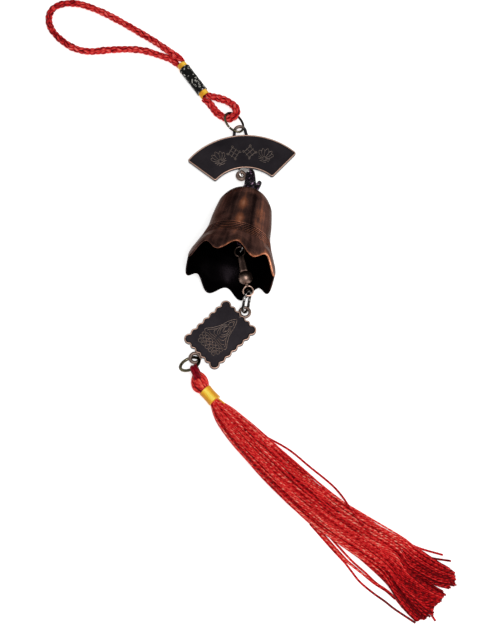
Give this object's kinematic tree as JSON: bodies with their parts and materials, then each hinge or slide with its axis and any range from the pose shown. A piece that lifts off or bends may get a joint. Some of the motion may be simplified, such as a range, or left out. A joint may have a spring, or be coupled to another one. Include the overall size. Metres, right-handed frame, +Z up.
{
  "type": "bell hanger",
  "caption": "Decorative hanger with a bound cord loop, fan-shaped plate, petalled bell with clapper, scalloped plate and long tassel, joined by rings and links.",
  "frame": {"origin": "centre of the bottom of the box round all parts but the cords, on the table it lies on", "axes": "+Y towards the hanging loop along the longest side, +Z up from the table"},
  "size_m": [0.1727, 0.276, 0.0369],
  "materials": {
    "red_cord": "twisted and braided red yarn, silky",
    "dark_red_cord": "dark red braid",
    "satin": "glossy satin cord, near-black purple",
    "yellow_thread": "wound silky thread",
    "black_thread": "wound thread with pale flecks",
    "plate_metal": "antiqued copper alloy, dark panel and worn rim",
    "bell_metal": "antiqued copper alloy, worn on the edges",
    "ring_metal": "dark antique wire",
    "link_metal": "bright wire"
  },
  "bodies": {
    "hanging_loop": {"hanging_cord_loop": "red_cord", "lower_cord_loop": "red_cord", "binding_core": "red_cord", "black_thread_winding": "black_thread", "upper_collar": "black_thread", "lower_collar": "black_thread", "upper_yellow_band": "yellow_thread", "lower_yellow_band": "yellow_thread"},
    "top_ring": {"top_ring": "ring_metal"},
    "fan_plate": {"fan_plate": "plate_metal"},
    "back_link": {"back_link": "link_metal"},
    "satin_cord": {"satin_cord": "satin"},
    "bell": {"bell_shell": "bell_metal"},
    "clapper_cord": {"clapper_cord": "satin"},
    "inner_link": {"inner_link": "link_metal"},
    "clapper": {"clapper": "bell_metal"},
    "lower_link": {"lower_link": "link_metal"},
    "tag_plate": {"tag_plate": "plate_metal"},
    "tag_ring": {"tag_ring": "ring_metal"},
    "tassel": {"tassel_hanger_loop": "dark_red_cord", "tassel_head": "red_cord", "tassel_binding": "yellow_thread", "tassel_skirt": "red_cord"}
  },
  "joints": [
    {"name": "ring_swing", "type": "hinge", "parent": "hanging_loop", "child": "top_ring", "pos_m": [-0.03168, 0.09456, 0.00345], "axis": [0.8102, 0.2671, 0.5217], "range_deg": [-40, 25]},
    {"name": "fan_swing", "type": "hinge", "parent": "top_ring", "child": "fan_plate", "pos_m": [-0.0284, 0.08788, 0.00299], "axis": [0.6313, 0.4793, -0.6097], "range_deg": [-40, 40]},
    {"name": "back_link_swing", "type": "hinge", "parent": "fan_plate", "child": "back_link", "pos_m": [-0.02572, 0.06688, 0.00299], "axis": [0.3584, 0.9336, 0], "range_deg": [-40, 40]},
    {"name": "satin_cord_swing", "type": "hinge", "parent": "back_link", "child": "satin_cord", "pos_m": [-0.02274, 0.06573, 0.0028], "axis": [0.2322, 0.5252, 0.8187], "range_deg": [-20, 40]},
    {"name": "bell_spin", "type": "hinge", "parent": "satin_cord", "child": "bell", "pos_m": [-0.0246, 0.0557, 0.00945], "axis": [-0.1857, -0.9553, 0.23], "range_deg": [-18, 0]},
    {"name": "clapper_cord_swing", "type": "hinge", "parent": "satin_cord", "child": "clapper_cord", "pos_m": [-0.02562, 0.05047, 0.01071], "axis": [0.9871, -0.1599, 0], "range_deg": [-30, 0]},
    {"name": "inner_link_swing", "type": "hinge", "parent": "clapper_cord", "child": "inner_link", "pos_m": [-0.02839, 0.03332, 0.00789], "axis": [0.7726, -0.021, -0.6345], "range_deg": [-12, 0]},
    {"name": "clapper_swing", "type": "hinge", "parent": "inner_link", "child": "clapper", "pos_m": [-0.02831, 0.02993, 0.00763], "axis": [0.6396, -0.1025, 0.7618], "range_deg": [-25, 0]},
    {"name": "lower_link_swing", "type": "hinge", "parent": "clapper", "child": "lower_link", "pos_m": [-0.02509, 0.01095, 0.00559], "axis": [0.9833, -0.1822, 0], "range_deg": [-40, 20]},
    {"name": "tag_swing", "type": "hinge", "parent": "lower_link", "child": "tag_plate", "pos_m": [-0.02623, 0.00485, 0.00184], "axis": [0.4719, 0.314, -0.8239], "range_deg": [-40, 40]},
    {"name": "tag_ring_swing", "type": "hinge", "parent": "tag_plate", "child": "tag_ring", "pos_m": [-0.04781, -0.01665, 0.00184], "axis": [0.8241, -0.5664, 0], "range_deg": [-14, 12]},
    {"name": "tassel_swing", "type": "hinge", "parent": "tag_ring", "child": "tassel", "pos_m": [-0.04699, -0.02067, 0.00609], "axis": [0.8232, 0.5662, -0.0421], "range_deg": [-40, 40]}
  ]
}
